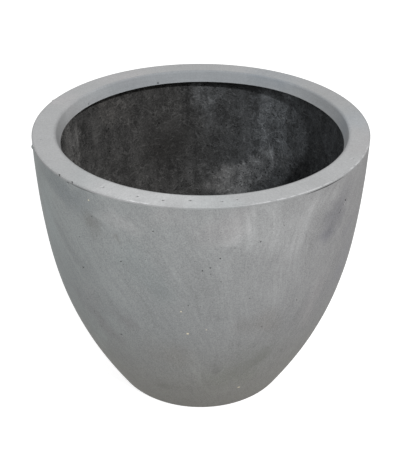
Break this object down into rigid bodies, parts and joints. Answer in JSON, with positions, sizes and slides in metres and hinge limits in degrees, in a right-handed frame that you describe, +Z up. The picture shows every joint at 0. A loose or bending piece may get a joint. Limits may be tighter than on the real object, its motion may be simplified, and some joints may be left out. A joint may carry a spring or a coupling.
{
  "type": "concrete bowl planter",
  "caption": "Tall round bowl planter in fibre-reinforced concrete, with a flat bonded collar, an inner lip, a flat base and a drain hole closed by a pull-out bung.",
  "frame": {"origin": "centre of the base, on the surface the planter stands on", "axes": "+Z up along the axis of revolution; -Y faces the viewer of the picture, +X is to the viewer's right"},
  "size_m": [0.5, 0.5, 0.43],
  "materials": {
    "face_coat": "matte",
    "fibre_laminate": "matte",
    "cast_collar": "matte",
    "bonding_mortar": "matte",
    "bung_rubber": "satin"
  },
  "bodies": {
    "pot": {"outer_shell": "face_coat", "fibre_lining": "fibre_laminate", "rim_ring": "cast_collar", "rim_bond": "bonding_mortar"},
    "plug": {"drain_plug": "bung_rubber"}
  },
  "joints": [
    {"name": "drain_plug_lift", "type": "slide", "parent": "pot", "child": "plug", "axis": [0, 0, 1], "range_m": [0, 0.46]}
  ]
}
